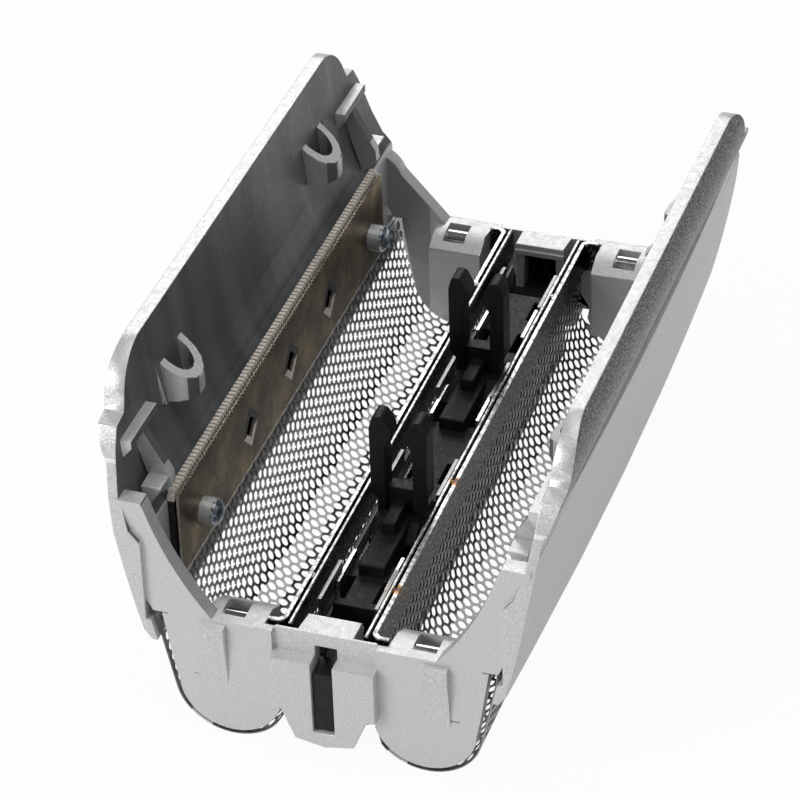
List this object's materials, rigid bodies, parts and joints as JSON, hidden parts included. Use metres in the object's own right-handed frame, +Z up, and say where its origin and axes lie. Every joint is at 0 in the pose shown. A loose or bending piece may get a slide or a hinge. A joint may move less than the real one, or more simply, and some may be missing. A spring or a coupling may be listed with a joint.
{
  "type": "shaver_foil_head",
  "caption": "Shaver foil head: two perforated foil troughs and a floating centre trimmer with twin drive forks, held in a silver moulded frame with high side walls",
  "frame": {"origin": "Middle of the head on the surface it stands on, foils down: the lowest line of the two foil arcs is Z 0.", "axes": "+X across the head from the left foil to the right foil, +Y along the foils from the front end to the rear end, +Z up, out of the open side that goes over the shaver."},
  "size_m": [0.0262, 0.0432, 0.0216],
  "materials": {
    "silver_paint": "metallic flake paint on moulded plastic",
    "foil": "bright electroformed nickel",
    "bronze_strip": "heat tinted, brushed",
    "steel": "brushed",
    "trimmer_steel": "ground",
    "pin_steel": "drawn",
    "black_plastic": "matte"
  },
  "bodies": {
    "head": {"head_frame": "silver_paint", "foil_left": "foil", "foil_right": "foil", "foil_strip_left": "bronze_strip", "foil_strip_right": "bronze_strip", "clamp_strip_left": "steel", "clamp_strip_right": "steel", "guide_rail_left": "steel", "guide_rail_right": "steel", "foil_rail_left": "steel", "foil_rail_right": "steel", "cross_pin_front_left": "pin_steel", "cross_pin_front_right": "pin_steel", "cross_pin_rear_left": "pin_steel", "cross_pin_rear_right": "pin_steel", "float_spring_front": "pin_steel", "float_spring_rear": "pin_steel"},
    "trimmer_unit": {"trimmer_comb": "trimmer_steel", "end_guide_front": "black_plastic", "end_guide_rear": "black_plastic"},
    "blade_unit": {"trimmer_blade": "trimmer_steel", "blade_carrier": "black_plastic"}
  },
  "joints": [
    {"name": "trimmer_float", "type": "slide", "parent": "head", "child": "trimmer_unit", "axis": [0, 0, 1], "range_m": [0, 0.0012], "stiffness_N_per_m": 400, "springref_m": -0.001, "deforming": ["float_spring_front", "float_spring_rear"]},
    {"name": "blade_drive", "type": "slide", "parent": "trimmer_unit", "child": "blade_unit", "axis": [0, 1, 0], "range_m": [-0.0012, 0.0012]}
  ]
}
